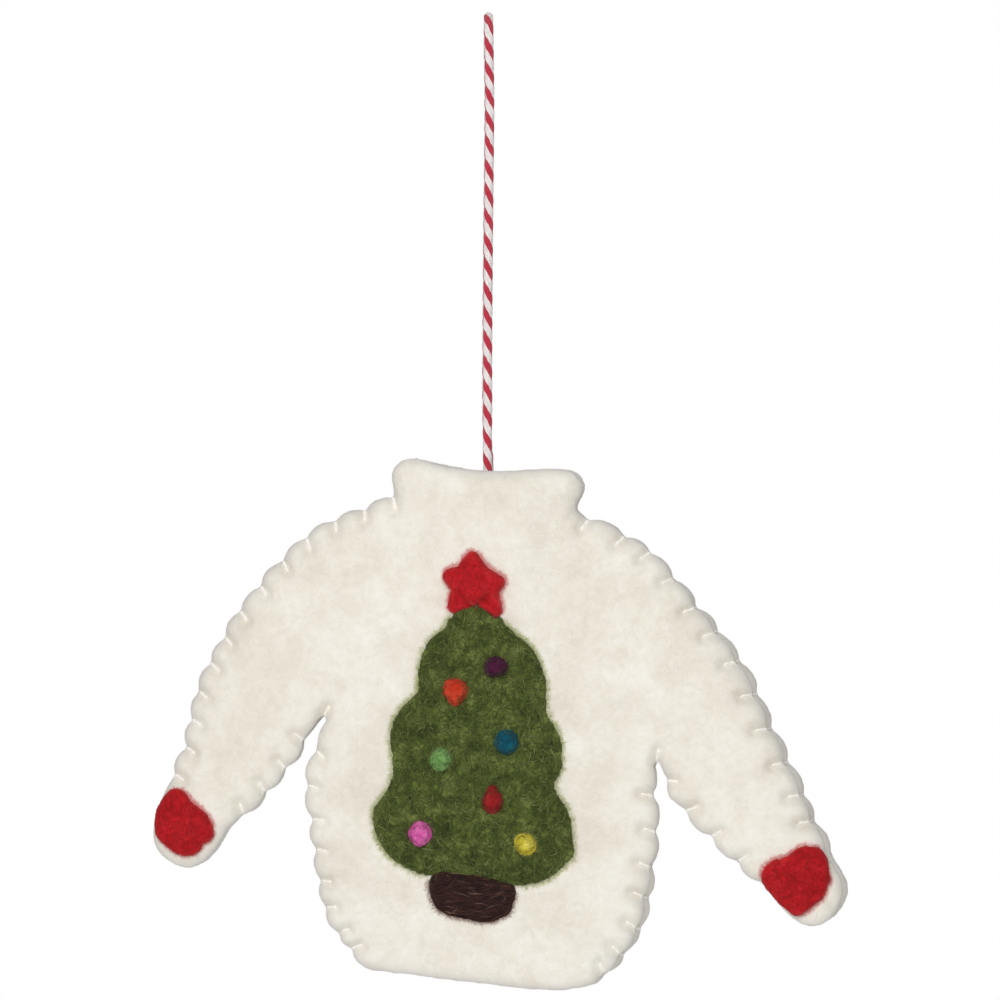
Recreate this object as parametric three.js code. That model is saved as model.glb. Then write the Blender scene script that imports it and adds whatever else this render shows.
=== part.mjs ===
// A felt jersey for a Christmas tree: two thick wool panels whipped together along the
// shoulders, sleeves and sides, open at the neck, cuffs and hem, with a needle-felted tree on
// the front and a twine loop that ends in a knot between the panels.
// Millimetres. The origin is where a hook carries the loop, +Z is up, and the front faces -Y.
import * as THREE from "three";

// Overall sizes
const sweater_width = 127;
const sweater_height = 97.7;
const loop_drop = 82.7;
const collar_shift = 0.45;
const clearance = 0.3;

// Felt panels
const felt_thickness = 2.8;
const rim_depth = 1.4;
const ring_inset = 0.6;
const grid_spacing = 4.6;
const seam_gap = 0.3;
const front_slack = 0.9;
const back_slack = 1.8;
const slack_reach = 12;
const back_overhang = 0.85;
const overhang_across_share = 0.25;
const overhang_down_share = 0.7;
const overhang_ramp_share = 0.1;
const edge_spacing = 2.8;

// Whip stitching
const thread_diameter = 0.7;
const thread_sides = 5;
const stitch_depth = 2.3;
const scallop_steps = 4;
const scallop_rise_share = 0.15;
const pinch_share = 0.55;
const pinch_width = 1.3;

// Twine loop, its knot and the pocket that traps the knot
const cord_diameter = 1.75;
const cord_sides = 8;
const cord_steps = 80;
const knot_drop = 9.5;
const knot_gap = 0.4;
const knot_steps = 54;
const knot_sides = 6;
const swing_rise = 1.5;
const swing_limit_deg = 40;
const pocket_width = 32;
const pocket_depth = 30;
const pocket_core_share = 0.42;

// Needle-felted figures
const tree_thickness = 1.8;
const star_thickness = 1.6;
const trunk_thickness = 1.6;
const bauble_thickness = 1.9;
const patch_thickness = 1.1;
const figure_rim = 1.6;
const figure_steps = 2;
const bauble_diameter = 4.8;
const bauble_points = 14;
const bauble_rim_share = 0.4;

// Outlines, as shares of the sweater's width and height, measured across and down from the
// middle of the collar, where the cord goes in. They run clockwise round the front.
const collar_shares = [
  [-0.134, 0.052], [-0.131, 0.045], [-0.132, 0.033], [-0.136, 0.013], [-0.132, -0.007], [-0.121, -0.02],
  [-0.105, -0.025], [-0.055, -0.009], [0, 0], [0.055, 0], [0.107, -0.004], [0.133, 0.005],
  [0.143, 0.026], [0.139, 0.047], [0.132, 0.062], [0.131, 0.074], [0.149, 0.093],
];
const right_shoulder_shares = [
  [0.149, 0.093], [0.201, 0.125], [0.239, 0.154], [0.271, 0.203], [0.302, 0.258],
  [0.331, 0.303], [0.362, 0.358], [0.386, 0.42], [0.407, 0.484], [0.431, 0.548],
  [0.454, 0.608], [0.469, 0.657], [0.492, 0.716],
];
const right_cuff_shares = [
  [0.492, 0.716], [0.511, 0.753], [0.518, 0.791], [0.501, 0.836],
  [0.472, 0.854], [0.441, 0.832], [0.4, 0.77],
];
const right_sleeve_shares = [
  [0.4, 0.77], [0.367, 0.732], [0.329, 0.685], [0.293, 0.637],
];
const right_armpit_shares = [
  [0.293, 0.637], [0.268, 0.61], [0.265, 0.581], [0.256, 0.55],
  [0.249, 0.542], [0.243, 0.551], [0.247, 0.58], [0.242, 0.61],
];
const right_side_shares = [
  [0.242, 0.61], [0.245, 0.678], [0.237, 0.744], [0.228, 0.801],
  [0.217, 0.859], [0.194, 0.908], [0.172, 0.944],
];
const hem_shares = [
  [0.172, 0.944], [0.158, 0.964], [0.119, 0.974], [0.075, 0.974],
  [-0.012, 0.963], [-0.124, 0.945], [-0.172, 0.936], [-0.191, 0.917],
  [-0.194, 0.9],
];
const left_side_shares = [
  [-0.194, 0.9], [-0.213, 0.869], [-0.232, 0.823], [-0.24, 0.772],
  [-0.245, 0.714], [-0.25, 0.657], [-0.258, 0.593], [-0.247, 0.527],
];
const left_armpit_shares = [
  [-0.247, 0.527], [-0.239, 0.49], [-0.229, 0.471], [-0.235, 0.461], [-0.243, 0.466],
  [-0.266, 0.508],
];
const left_sleeve_shares = [
  [-0.266, 0.508], [-0.293, 0.561], [-0.322, 0.605], [-0.354, 0.647],
];
const left_cuff_shares = [
  [-0.354, 0.647], [-0.376, 0.674], [-0.396, 0.718], [-0.431, 0.751],
  [-0.469, 0.73], [-0.485, 0.691], [-0.473, 0.621], [-0.453, 0.574],
];
const left_shoulder_shares = [
  [-0.453, 0.574], [-0.437, 0.522], [-0.428, 0.47], [-0.418, 0.417], [-0.4, 0.364],
  [-0.38, 0.314], [-0.357, 0.266], [-0.328, 0.217], [-0.295, 0.171], [-0.261, 0.128],
  [-0.219, 0.095], [-0.176, 0.075], [-0.134, 0.052],
];
const tree_shares = [
  [-0.048, 0.272], [-0.071, 0.3], [-0.092, 0.341], [-0.099, 0.392], [-0.112, 0.431],
  [-0.133, 0.47], [-0.138, 0.516], [-0.133, 0.559], [-0.138, 0.598], [-0.157, 0.631],
  [-0.159, 0.672], [-0.144, 0.718], [-0.109, 0.749], [-0.083, 0.759], [-0.058, 0.758],
  [-0.019, 0.763], [0.01, 0.769], [0.033, 0.777], [0.059, 0.779], [0.086, 0.77],
  [0.109, 0.754], [0.129, 0.728], [0.13, 0.691], [0.122, 0.641], [0.106, 0.597],
  [0.115, 0.556], [0.111, 0.494], [0.094, 0.455], [0.092, 0.401], [0.083, 0.357],
  [0.063, 0.32], [0.043, 0.299], [0.025, 0.284], [0.013, 0.276], [0.002, 0.263],
  [-0.012, 0.249], [-0.025, 0.26], [-0.036, 0.27],
];
const trunk_shares = [
  [-0.077, 0.778], [-0.073, 0.768], [-0.059, 0.763], [-0.019, 0.768], [0.012, 0.774],
  [0.032, 0.783], [0.044, 0.796], [0.039, 0.814], [0.022, 0.841], [0.003, 0.849],
  [-0.023, 0.843], [-0.045, 0.836], [-0.065, 0.824], [-0.076, 0.801],
];
const star_shares = [
  [-0.018, 0.152], [-0.011, 0.152], [0.004, 0.181], [0.031, 0.202], [0.03, 0.215],
  [0.022, 0.226], [0.025, 0.261], [0.018, 0.272], [-0.012, 0.243], [-0.042, 0.266],
  [-0.05, 0.252], [-0.044, 0.224], [-0.056, 0.201], [-0.056, 0.189], [-0.036, 0.181],
];
const left_patch_shares = [
  [-0.454, 0.6], [-0.438, 0.606], [-0.425, 0.627], [-0.407, 0.645], [-0.398, 0.663],
  [-0.395, 0.687], [-0.405, 0.704], [-0.426, 0.724], [-0.452, 0.713], [-0.474, 0.688],
  [-0.475, 0.655], [-0.467, 0.62],
];
const right_patch_shares = [
  [0.402, 0.768], [0.407, 0.743], [0.429, 0.731], [0.446, 0.716], [0.465, 0.703],
  [0.486, 0.709], [0.496, 0.728], [0.497, 0.765], [0.484, 0.801], [0.468, 0.82],
  [0.451, 0.831], [0.424, 0.802],
];
const bauble_names = [
  "purple_bauble", "orange_bauble", "teal_bauble", "light_green_bauble", "red_drop_bauble",
  "pink_bauble", "yellow_bauble",
];
const bauble_place_shares = [
  [0.019, 0.367], [-0.039, 0.413], [0.037, 0.508], [-0.06, 0.542], [0.013, 0.616],
  [-0.09, 0.681], [0.065, 0.702],
];
const bauble_size_shares = [
  [0.96, 0.88], [1, 1.04], [1, 1], [0.85, 0.92], [0.81, 1.08], [0.96, 1], [0.92, 0.92],
];
const bauble_point_shares = [0, 0, 0, 0, 0.6, 0, 0];

// Stitches, counted along the places of their edge. An armpit's curve takes only a few, and
// the right sleeve's seams stop where the red wool of its cuff begins.
const right_armpit_stitches = [2, 4];
const left_armpit_stitches = [3];
const right_shoulder_stitches = [...right_shoulder_shares.keys()].slice(0, -1);
const right_sleeve_stitches = [...right_sleeve_shares.keys()].slice(1);

// The free twine's route, chosen by hand: up from the collar, over the hook and down again
const loop_route = [
  [0, -1.275, -81.05], [0, -1.275, -78], [0.03, -1.4, -72], [0.08, -1.75, -60],
  [0.15, -2.25, -45], [0.25, -2.8, -30], [0.35, -3.35, -15], [0.43, -3.65, -6.5],
  [0.47, -3.69, -2.88], [0.41, -3.2, -1], [0.24, -1.85, 0.37], [0, 0, 0.875],
  [-0.24, 1.85, 0.37], [-0.41, 3.2, -1], [-0.47, 3.69, -2.88], [-0.58, 3.65, -6.5],
  [-0.85, 3.35, -15], [-1, 2.75, -30], [-0.95, 2.15, -45], [-0.7, 1.5, -60],
  [-0.3, 0.95, -72], [0, 0.775, -78], [0, 0.775, -81.05],
];

// Colours, roughness and metalness
const finishes = {
  wool: [0xece8dc, 0.95],
  thread: [0xf6f4ee, 0.8],
  red: [0xb01c20, 0.95],
  green: [0x4c5e2e, 0.95],
  brown: [0x321c1a, 0.95],
  purple: [0x4b1446, 0.95],
  orange: [0xdc3c1e, 0.95],
  teal: [0x006482, 0.95],
  light_green: [0x649b50, 0.95],
  pink: [0xd75faf, 0.95],
  yellow: [0xd7c832, 0.95],
  twine: [0xd46a72, 0.85],
};
const bauble_finishes = ["purple", "orange", "teal", "light_green", "red", "pink", "yellow"];

const part = new THREE.Group();

function addMesh(name, geometry, finish) {
  const [color, roughness] = finishes[finish];
  const mesh = new THREE.Mesh(
    geometry,
    new THREE.MeshStandardMaterial({ color, roughness, metalness: 0 }),
  );
  mesh.name = name;
  part.add(mesh);
  return mesh;
}

// Plan geometry: points are Vector2 of x and z, seen from the front
const place = ([across, down]) =>
  new THREE.Vector2(
    across * sweater_width - collar_shift,
    -loop_drop - down * sweater_height,
  );

function distanceToLine(point, line) {
  let best = Infinity;
  for (let i = 1; i < line.length; i++) {
    const along = line[i].clone().sub(line[i - 1]);
    const from = point.clone().sub(line[i - 1]);
    const share = THREE.MathUtils.clamp(from.dot(along) / along.lengthSq(), 0, 1);
    best = Math.min(best, from.addScaledVector(along, -share).length());
  }
  return best;
}

const distanceToLoop = (point, loop) => distanceToLine(point, [...loop, loop[0]]);

function isInside(point, loop) {
  let inside = false;
  loop.forEach((a, i) => {
    const b = loop[(i + 1) % loop.length];
    const crosses = a.y > point.y !== b.y > point.y;
    if (crosses && point.x < a.x + ((point.y - a.y) * (b.x - a.x)) / (b.y - a.y))
      inside = !inside;
  });
  return inside;
}

// The direction into the felt at each point of a clockwise loop, halfway between its edges'
function inwardDirections(loop) {
  return loop.map((point, i) => {
    const before = loop[(i + loop.length - 1) % loop.length];
    const after = loop[(i + 1) % loop.length];
    const arriving = point.clone().sub(before).normalize();
    const along = after.clone().sub(point).normalize().add(arriving).normalize();
    return new THREE.Vector2(along.y, -along.x);
  });
}

// A smooth edge through its places. Marks are where the places lie among its points.
function smoothCurve(places) {
  const curve = new THREE.SplineCurve(places);
  const points = [places[0]];
  const marks = [0];
  for (let i = 1; i < places.length; i++) {
    const steps = Math.ceil(places[i].distanceTo(places[i - 1]) / edge_spacing);
    for (let step = 1; step <= steps; step++)
      points.push(curve.getPoint((i - 1 + step / steps) / (places.length - 1)));
    marks.push(points.length - 1);
  }
  return { points, marks };
}

// A sewn edge: between two stitches the felt swells into a scallop
function scallopedCurve(places) {
  const points = [places[0]];
  const marks = [0];
  for (let i = 1; i < places.length; i++) {
    const along = places[i].clone().sub(places[i - 1]);
    const outward = new THREE.Vector2(-along.y, along.x);
    for (let step = 1; step <= scallop_steps; step++) {
      const share = step / scallop_steps;
      const rise = 4 * share * (1 - share) * scallop_rise_share;
      points.push(
        places[i - 1].clone().addScaledVector(along, share).addScaledVector(outward, rise),
      );
    }
    marks.push(points.length - 1);
  }
  return { points, marks };
}

// Delaunay triangles of plan points, adding one point at a time inside one huge triangle
function triangulate(points) {
  const far = 100 * sweater_width;
  const all = [
    ...points,
    new THREE.Vector2(-far, -far),
    new THREE.Vector2(far, -far),
    new THREE.Vector2(0, far),
  ];
  const withCircle = (a, b, c) => {
    const [p, q, r] = [all[a], all[b], all[c]];
    const [qx, qy, rx, ry] = [q.x - p.x, q.y - p.y, r.x - p.x, r.y - p.y];
    const twice = 2 * (qx * ry - qy * rx);
    const x = (ry * (qx * qx + qy * qy) - qy * (rx * rx + ry * ry)) / twice;
    const y = (qx * (rx * rx + ry * ry) - rx * (qx * qx + qy * qy)) / twice;
    const corners = twice > 0 ? [a, b, c] : [a, c, b];
    return { corners, x: p.x + x, y: p.y + y, reach: x * x + y * y };
  };
  const count = points.length;
  let triangles = [withCircle(count, count + 1, count + 2)];
  points.forEach((point, index) => {
    const rim = new Map();
    triangles = triangles.filter((t) => {
      if ((point.x - t.x) ** 2 + (point.y - t.y) ** 2 >= t.reach) return true;
      t.corners.forEach((a, i) => {
        const b = t.corners[(i + 1) % 3];
        const key = Math.min(a, b) + "," + Math.max(a, b);
        if (!rim.delete(key)) rim.set(key, [a, b]);
      });
      return false;
    });
    for (const [a, b] of rim.values()) triangles.push(withCircle(a, b, index));
  });
  return triangles.map((t) => t.corners).filter((t) => t.every((i) => i < count));
}

// A flat plan of an outline with square holes, ready to be given its two surfaces
function planOf(outline, holes, spacing, inset) {
  const inward = inwardDirections(outline);
  const ring = outline.map((p, i) => p.clone().addScaledVector(inward[i], inset));
  const points = [...outline, ...ring.filter((p) => isInside(p, outline)), ...holes.flat()];
  const box = new THREE.Box2().setFromPoints(outline);
  const rowStep = (spacing * Math.sqrt(3)) / 2;
  const rows = Math.floor((box.max.y - box.min.y) / rowStep);
  const columns = Math.floor((box.max.x - box.min.x) / spacing);
  for (let row = 0; row <= rows; row++)
    for (let column = 0; column <= columns; column++) {
      const x = box.min.x + (column + (row % 2) / 2) * spacing;
      const point = new THREE.Vector2(x, box.min.y + row * rowStep);
      const isClear =
        isInside(point, outline) &&
        distanceToLoop(point, outline) > inset + spacing / 3 &&
        holes.every((hole) => distanceToLoop(point, hole) > spacing / 3);
      if (isClear) points.push(point);
    }
  const triangles = triangulate(points).filter((corners) => {
    const middle = new THREE.Vector2();
    corners.forEach((i) => middle.addScaledVector(points[i], 1 / 3));
    return isInside(middle, outline) && !holes.some((hole) => isInside(middle, hole));
  });
  return { points, triangles, rimCount: outline.length };
}

// A closed solid between a front and a rear surface that meet along the outline
function slab({ points, triangles, rimCount }, frontAt, rearAt) {
  const fronts = points.map((p) => [p.x, frontAt(p), p.y]);
  const rears = points.slice(rimCount).map((p) => [p.x, rearAt(p), p.y]);
  const rearOf = (i) => (i < rimCount ? i : i + rears.length);
  const index = [];
  const open = new Map();
  for (const [a, b, c] of triangles) {
    index.push(a, b, c, rearOf(a), rearOf(c), rearOf(b));
    for (const [from, to] of [[a, b], [b, c], [c, a]])
      if (!open.delete(to + "," + from)) open.set(from + "," + to, [from, to]);
  }
  for (const [from, to] of open.values())
    if (from >= rimCount && to >= rimCount) {
      index.push(from, rearOf(to), to);
      index.push(from, rearOf(from), rearOf(to));
    }
  const geometry = new THREE.BufferGeometry();
  const positions = new Float32Array([...fronts, ...rears].flat());
  geometry.setAttribute("position", new THREE.BufferAttribute(positions, 3));
  geometry.setIndex(index);
  geometry.computeVertexNormals();
  return geometry;
}

// The jersey's outline, section by section, and the stitches that hold its seams
const outline = [];
const seams = {};
const seamLines = [];
function addSection(makeCurve, shares, thread, stitches) {
  const places = shares.map(place);
  const { points, marks } = makeCurve(places);
  const start = outline.length;
  outline.push(...points.slice(0, -1));
  if (!thread) return;
  seams[thread] ??= [];
  for (const stitch of stitches ?? shares.keys()) seams[thread].push(start + marks[stitch]);
  seamLines.push(places);
}
addSection(smoothCurve, collar_shares);
addSection(
  scallopedCurve, right_shoulder_shares, "right_shoulder_thread", right_shoulder_stitches,
);
addSection(smoothCurve, right_cuff_shares);
addSection(
  scallopedCurve, right_sleeve_shares, "right_underarm_thread", right_sleeve_stitches,
);
addSection(smoothCurve, right_armpit_shares, "right_underarm_thread", right_armpit_stitches);
addSection(scallopedCurve, right_side_shares, "right_underarm_thread");
addSection(smoothCurve, hem_shares);
addSection(scallopedCurve, left_side_shares, "left_underarm_thread");
addSection(smoothCurve, left_armpit_shares, "left_underarm_thread", left_armpit_stitches);
addSection(scallopedCurve, left_sleeve_shares, "left_underarm_thread");
addSection(smoothCurve, left_cuff_shares);
addSection(scallopedCurve, left_shoulder_shares, "left_shoulder_thread");

const inward = inwardDirections(outline);
const smooth = (share) => THREE.MathUtils.smoothstep(share, 0, 1);
// The back panel is cut a little larger, and shows past the front one along the outside of the
// right sleeve and low on the right side
const backOutline = outline.map((p, i) => {
  const across = (p.x / sweater_width - overhang_across_share) / overhang_ramp_share;
  const down = (-loop_drop - p.y) / sweater_height - overhang_down_share;
  const low = p.x > 0 ? smooth(down / overhang_ramp_share) : 0;
  const overhang = back_overhang * Math.max(0, -inward[i].x) * Math.max(smooth(across), low);
  return p.clone().add(new THREE.Vector2(overhang, 0));
});
const stitchAt = (number) => {
  const i = number % outline.length;
  return {
    front: outline[i],
    back: backOutline[i],
    inward: inward[i],
    hole: outline[i].clone().addScaledVector(inward[i], stitch_depth),
  };
};
const stitches = Object.values(seams).flat().map(stitchAt);

// Square holes take the thread with a clearance on each flat, one corner towards the rim
const holeCorner = (thread_diameter / 2 + clearance) * Math.SQRT2;
const holes = stitches.map(({ hole, inward: into }) =>
  [0, 1, 2, 3].map((quarter) =>
    hole
      .clone()
      .addScaledVector(
        into.clone().rotateAround(new THREE.Vector2(), (quarter * Math.PI) / 2),
        holeCorner,
      ),
  ),
);

// How the felt lies: the panels touch at the seams, and stand apart between them. The back
// one lies flat, and the front one bulges over the knot.
const rimShare = (distance, depth) =>
  Math.sqrt(1 - (1 - Math.min(distance / depth, 1)) ** 2);
const slackShare = (p) =>
  smooth(Math.min(...seamLines.map((line) => distanceToLine(p, line))) / slack_reach);

const strandPitch = cord_diameter + clearance;
const strandStack = cord_diameter + strandPitch;
const backInner = seam_gap / 2 + back_slack;
const strandsY = backInner - clearance - strandStack / 2;
const lipInner = strandStack + 2 * clearance - backInner;

// The knot is a trefoil. Where it passes nearest to its middle, its strands keep the gap.
const knotRadius = (2 * (cord_diameter + knot_gap)) / Math.sqrt(3);
const knotThickness = knotRadius + cord_diameter;
const knotReach = (3 * knotRadius + cord_diameter) / 2;
const knotY = backInner - clearance - knotThickness / 2;
const knotZ = -loop_drop - knot_drop;
const pocketInner = knotThickness + 2 * clearance - backInner;

function frontGap(p) {
  const resting = seam_gap / 2 + slackShare(p) * front_slack;
  const below = (-loop_drop - p.y) / knot_drop;
  const pushed = THREE.MathUtils.lerp(lipInner, pocketInner, smooth(below));
  const across = p.x / (pocket_width / 2);
  const down = Math.max(0, knotZ - p.y) / (pocket_depth - knot_drop);
  const away = Math.hypot(across, down);
  const held = 1 - smooth((away - pocket_core_share) / (1 - pocket_core_share));
  return THREE.MathUtils.lerp(resting, Math.max(resting, pushed), held);
}
const backGap = (p) => seam_gap / 2 + slackShare(p) * back_slack;

// The thread draws the outer face in along each stitch
function pinchAt(p) {
  const nearest = Math.min(
    ...stitches.map(({ front, hole }) => distanceToLine(p, [front, hole])),
  );
  return pinch_share * Math.max(0, 1 - nearest / pinch_width);
}
const halfFelt = (p, rim) =>
  (felt_thickness / 2) * rimShare(distanceToLoop(p, rim), rim_depth);
const frontMiddle = (p) => -frontGap(p) - felt_thickness / 2;
const backMiddle = (p) => backGap(p) + felt_thickness / 2;
const frontOuter = (p) => frontMiddle(p) - halfFelt(p, outline) * (1 - pinchAt(p));
const frontInner = (p) => frontMiddle(p) + halfFelt(p, outline);
const backOuter = (p) => backMiddle(p) + halfFelt(p, backOutline) * (1 - pinchAt(p));
const backInnerAt = (p) => backMiddle(p) - halfFelt(p, backOutline);

const frontPlan = planOf(outline, holes, grid_spacing, ring_inset);
const backPlan = planOf(backOutline, holes, grid_spacing, ring_inset);
addMesh("front_panel", slab(frontPlan, frontOuter, frontInner), "wool");
addMesh("back_panel", slab(backPlan, backInnerAt, backOuter), "wool");

// A closed tube of equal sections along points, each turned as little as the bends allow
function tube(points, radius, sides) {
  const rings = [];
  let side = null;
  points.forEach((point, i) => {
    const before = points[Math.max(0, i - 1)];
    const after = points[Math.min(points.length - 1, i + 1)];
    const along = after.clone().sub(before).normalize();
    side ??= new THREE.Vector3(along.z, along.x, along.y);
    side = side.clone().addScaledVector(along, -side.dot(along)).normalize();
    const up = along.clone().cross(side);
    for (let k = 0; k < sides; k++) {
      const angle = (k / sides) * 2 * Math.PI;
      rings.push(
        point
          .clone()
          .addScaledVector(side, radius * Math.cos(angle))
          .addScaledVector(up, radius * Math.sin(angle)),
      );
    }
  });
  const index = [];
  const last = (points.length - 1) * sides;
  for (let k = 0; k < sides; k++) {
    const next = (k + 1) % sides;
    for (let start = 0; start < last; start += sides) {
      index.push(start + k, start + next, start + sides + next);
      index.push(start + k, start + sides + next, start + sides + k);
    }
    if (k > 0 && next > 0) {
      index.push(0, next, k);
      index.push(last, last + k, last + next);
    }
  }
  const geometry = new THREE.BufferGeometry().setFromPoints(rings);
  geometry.setIndex(index);
  geometry.computeVertexNormals();
  return geometry;
}

// One whip thread: through the front felt, square over both rims, then slanting across the
// back felt to the next hole. Its ends stay hidden between the panels.
const threadRadius = thread_diameter / 2;
const lift = threadRadius + clearance;
const bend = threadRadius;
const spot = (plan, y) => new THREE.Vector3(plan.x, y, plan.y);

// A place on the thread over a pinched rim, at an angle round the rim from its outermost line
function overRim(edge, into, angle, middle, facing) {
  const face = (felt_thickness / 2) * (1 - pinch_share);
  const normal = new THREE.Vector2(Math.cos(angle) / rim_depth, Math.sin(angle) / face);
  normal.normalize().multiplyScalar(lift);
  const inset = rim_depth * (1 - Math.cos(angle)) - normal.x;
  const height = face * Math.sin(angle) + normal.y;
  return spot(edge.clone().addScaledVector(into, inset), middle + facing * height);
}
const rimAngles = [Math.PI / 3, Math.PI / 12];

function threadRoute(numbers) {
  const route = [];
  numbers.map(stitchAt).forEach((stitch, i, all) => {
    const { front, back, hole, inward: into } = stitch;
    const next = all[i + 1] ?? stitch;
    if (i === 0) route.push(spot(hole, 0));
    const face = frontOuter(hole) - lift;
    route.push(spot(hole, face + bend));
    route.push(spot(hole.clone().addScaledVector(into, -bend), face));
    for (const angle of rimAngles)
      route.push(overRim(front, into, angle, frontMiddle(front), -1));
    for (const angle of rimAngles.toReversed())
      route.push(overRim(back, into, angle, backMiddle(back), 1));
    const start = back.clone().addScaledVector(into, ring_inset);
    const across = next.hole.clone().sub(start);
    const rise = start.clone().addScaledVector(across, 1 / 4);
    route.push(spot(rise, backMiddle(rise) + felt_thickness / 2 + lift));
    const land = next.hole.clone().addScaledVector(across.normalize(), -bend);
    route.push(spot(land, backOuter(land) + lift));
    route.push(spot(next.hole, backOuter(next.hole) + lift - bend));
    if (next === stitch) route.push(spot(hole, thread_diameter + clearance));
  });
  return route;
}
for (const [name, numbers] of Object.entries(seams))
  addMesh(name, tube(threadRoute(numbers), threadRadius, thread_sides), "thread");

// A needle-felted figure: a rounded pad of wool on the surface that carries it
function figureOn(carrier, shape, thickness, spacing, inset, depth) {
  const rear = (p) => carrier(p) - clearance;
  const front = (p) => rear(p) - thickness * rimShare(distanceToLoop(p, shape), depth);
  return { front, geometry: slab(planOf(shape, [], spacing, inset), front, rear) };
}
const closedCurve = (shares) => {
  const corners = shares.map(place).map((p) => new THREE.Vector3(p.x, p.y, 0));
  return new THREE.CatmullRomCurve3(corners, true)
    .getPoints(shares.length * figure_steps)
    .slice(0, -1)
    .map((p) => new THREE.Vector2(p.x, p.y));
};
const onFelt = (name, shape, thickness, finish) => {
  const { front, geometry } = figureOn(
    frontOuter, shape, thickness, grid_spacing, ring_inset, figure_rim,
  );
  addMesh(name, geometry, finish);
  return front;
};
const treeFront = onFelt("tree", closedCurve(tree_shares), tree_thickness, "green");
onFelt("star", star_shares.map(place), star_thickness, "red");
onFelt("tree_trunk", closedCurve(trunk_shares), trunk_thickness, "brown");
onFelt("left_cuff_patch", closedCurve(left_patch_shares), patch_thickness, "red");
onFelt("right_cuff_patch", closedCurve(right_patch_shares), patch_thickness, "red");

// The baubles: round dots of wool on the tree, one drawn out to a point at its top
bauble_names.forEach((name, i) => {
  const middle = place(bauble_place_shares[i]);
  const [width, height] = bauble_size_shares[i].map((share) => share * bauble_diameter);
  const shape = Array.from({ length: bauble_points }, (_, k) => {
    const angle = Math.PI / 2 - (k / bauble_points) * 2 * Math.PI;
    const narrowed = 1 - bauble_point_shares[i] * Math.max(0, Math.sin(angle));
    const across = (Math.cos(angle) * width * narrowed) / 2;
    const up = (Math.sin(angle) * height) / 2;
    return middle.clone().add(new THREE.Vector2(across, up));
  });
  const inset = (bauble_rim_share * bauble_diameter) / 2;
  const { geometry } = figureOn(
    treeFront, shape, bauble_thickness, bauble_diameter / 4, inset, 2 * inset,
  );
  addMesh(name, geometry, bauble_finishes[i]);
});

// The twine: a free loop from the collar over the hook, two tails between the panels, and
// the knot that ties them, wider than the gap at the collar
const section = new THREE.Shape().absarc(0, 0, cord_diameter / 2, 0, 2 * Math.PI);
function twine(route, steps) {
  return new THREE.ExtrudeGeometry(section, {
    curveSegments: cord_sides / 2,
    steps,
    bevelEnabled: false,
    extrudePath: new THREE.CatmullRomCurve3(route),
  });
}
const loopPoints = loop_route.map((place3) => new THREE.Vector3(...place3));
addMesh("hanging_loop", twine(loopPoints, cord_steps), "twine");

// The twine bends just above the collar's lip when the jersey swings to the front or the back.
// There the tails' top ends slope away, so that the loop's ends clear them.
const tailTop = -loop_drop + swing_rise - clearance / 2;
const tailEnd = knotZ + knotReach + clearance;
const slope = Math.tan(THREE.MathUtils.degToRad(swing_limit_deg));
[-1, 1].forEach((side) => {
  const y = strandsY + (side * strandPitch) / 2;
  const route = [new THREE.Vector3(0, y, tailEnd), new THREE.Vector3(0, y, tailTop)];
  const geometry = twine(route, 1);
  const corners = geometry.getAttribute("position");
  for (let i = 0; i < corners.count; i++)
    if (corners.getZ(i) > tailTop - clearance)
      corners.setZ(i, tailTop - slope * Math.abs(corners.getY(i)));
  addMesh(side < 0 ? "front_cord_tail" : "rear_cord_tail", geometry, "twine");
});

// The overhand knot, with one lobe up towards the tails
const knot = addMesh(
  "cord_knot",
  new THREE.TorusKnotGeometry(knotRadius, cord_diameter / 2, knot_steps, knot_sides, 2, 3)
    .rotateX(Math.PI / 2)
    .rotateY(-Math.PI / 2),
  "twine",
);
knot.position.set(0, knotY, knotZ);

export default part;
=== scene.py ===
# A felt jersey for a Christmas tree, hanging from candy-striped twine.
# Metres, as its frame is: +Z is up, the origin is where a hook holds the loop, and the front
# faces -Y. Each section makes one piece, or a group of like pieces, in the order of assembly.
import math
import random

import bmesh
import bpy
import numpy as np
from mathutils import Matrix, Vector
from mathutils.bvhtree import BVHTree
from mathutils.kdtree import KDTree


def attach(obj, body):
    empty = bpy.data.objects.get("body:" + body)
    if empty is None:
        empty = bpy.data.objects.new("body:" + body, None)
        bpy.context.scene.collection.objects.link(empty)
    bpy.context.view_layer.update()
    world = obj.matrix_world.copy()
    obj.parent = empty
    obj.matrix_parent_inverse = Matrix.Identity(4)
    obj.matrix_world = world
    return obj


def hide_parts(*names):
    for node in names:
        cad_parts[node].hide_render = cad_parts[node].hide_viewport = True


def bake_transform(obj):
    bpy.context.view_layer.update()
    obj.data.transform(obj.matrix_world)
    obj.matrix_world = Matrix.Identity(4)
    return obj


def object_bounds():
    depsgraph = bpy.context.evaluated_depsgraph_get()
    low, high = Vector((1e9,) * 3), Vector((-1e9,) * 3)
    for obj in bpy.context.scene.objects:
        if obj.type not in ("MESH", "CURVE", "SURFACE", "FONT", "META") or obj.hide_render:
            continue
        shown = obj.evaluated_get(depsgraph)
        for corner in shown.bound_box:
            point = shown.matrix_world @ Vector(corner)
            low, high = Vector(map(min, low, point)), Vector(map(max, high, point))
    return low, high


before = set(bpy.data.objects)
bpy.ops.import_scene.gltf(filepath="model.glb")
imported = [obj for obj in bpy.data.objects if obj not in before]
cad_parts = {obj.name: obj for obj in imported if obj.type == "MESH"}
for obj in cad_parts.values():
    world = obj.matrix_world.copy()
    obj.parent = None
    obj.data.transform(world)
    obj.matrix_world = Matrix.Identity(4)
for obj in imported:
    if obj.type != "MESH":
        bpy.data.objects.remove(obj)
cad_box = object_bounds()
scene = bpy.context.scene
scene.view_settings.view_transform = "Standard"


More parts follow.
